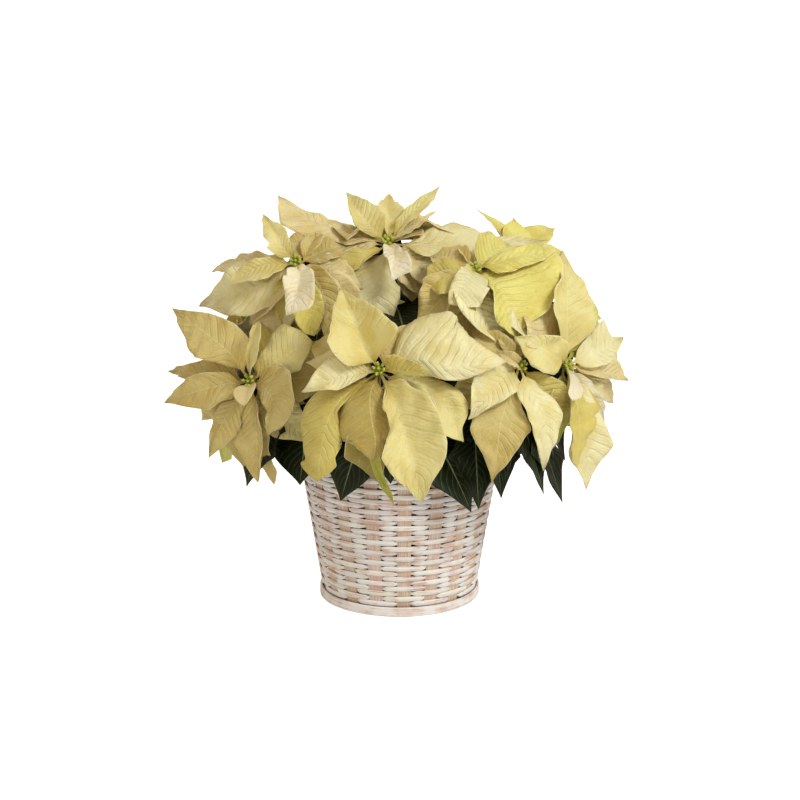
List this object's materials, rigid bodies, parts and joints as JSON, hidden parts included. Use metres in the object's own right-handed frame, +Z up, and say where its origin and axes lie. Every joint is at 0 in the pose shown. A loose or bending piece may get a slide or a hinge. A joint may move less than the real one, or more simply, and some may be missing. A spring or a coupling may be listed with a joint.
{
  "type": "poinsettia in a woven basket",
  "caption": "Cream-yellow poinsettia with whorls of bracts over dark green leaves, growing in a pot inside a round whitewashed woven basket.",
  "frame": {"origin": "middle of the flat underside of the basket's base", "axes": "+Z up, -Y towards the front of the plant as pictured, +X to the viewer's right"},
  "size_m": [0.4851, 0.4057, 0.4321],
  "materials": {
    "whitewashed_chipwood": "matte",
    "pot_plastic": "matte",
    "potting_soil": "matte",
    "green_bark": "matte",
    "cream_bract": "matte",
    "cyathium_green": "satin",
    "leaf_green": "satin"
  },
  "bodies": {
    "root": {"basket_wall": "whitewashed_chipwood", "basket_base": "whitewashed_chipwood", "base_hoop": "whitewashed_chipwood", "rim_hoop": "whitewashed_chipwood", "grower_pot": "pot_plastic", "potting_soil": "potting_soil", "stems_left": "green_bark", "stems_middle": "green_bark", "stems_right": "green_bark", "bracts_front": "cream_bract", "bracts_right": "cream_bract", "bracts_left": "cream_bract", "bracts_far_right": "cream_bract", "bracts_top": "cream_bract", "bracts_upper_left": "cream_bract", "bracts_upper_right": "cream_bract", "bracts_side_right": "cream_bract", "bracts_upper_back_right": "cream_bract", "bracts_back_left": "cream_bract", "bracts_back": "cream_bract", "bracts_back_right": "cream_bract", "bracts_upper_back": "cream_bract", "cyathia_front": "cyathium_green", "cyathia_right": "cyathium_green", "cyathia_left": "cyathium_green", "cyathia_far_right": "cyathium_green", "cyathia_top": "cyathium_green", "cyathia_upper_left": "cyathium_green", "cyathia_upper_right": "cyathium_green", "cyathia_side_right": "cyathium_green", "cyathia_upper_back_right": "cyathium_green", "cyathia_back_left": "cyathium_green", "cyathia_back": "cyathium_green", "cyathia_back_right": "cyathium_green", "cyathia_upper_back": "cyathium_green", "leaf_01": "leaf_green", "leaf_02": "leaf_green", "leaf_03": "leaf_green", "leaf_04": "leaf_green", "leaf_05": "leaf_green", "leaf_06": "leaf_green", "leaf_07": "leaf_green", "leaf_08": "leaf_green", "leaf_09": "leaf_green", "leaf_10": "leaf_green", "leaf_11": "leaf_green", "leaf_12": "leaf_green", "leaf_13": "leaf_green", "leaf_14": "leaf_green", "leaf_15": "leaf_green", "leaf_16": "leaf_green", "leaf_17": "leaf_green", "leaf_18": "leaf_green", "leaf_19": "leaf_green", "leaf_20": "leaf_green", "leaf_21": "leaf_green", "leaf_22": "leaf_green", "leaf_23": "leaf_green", "leaf_24": "leaf_green"}
  },
  "joints": []
}
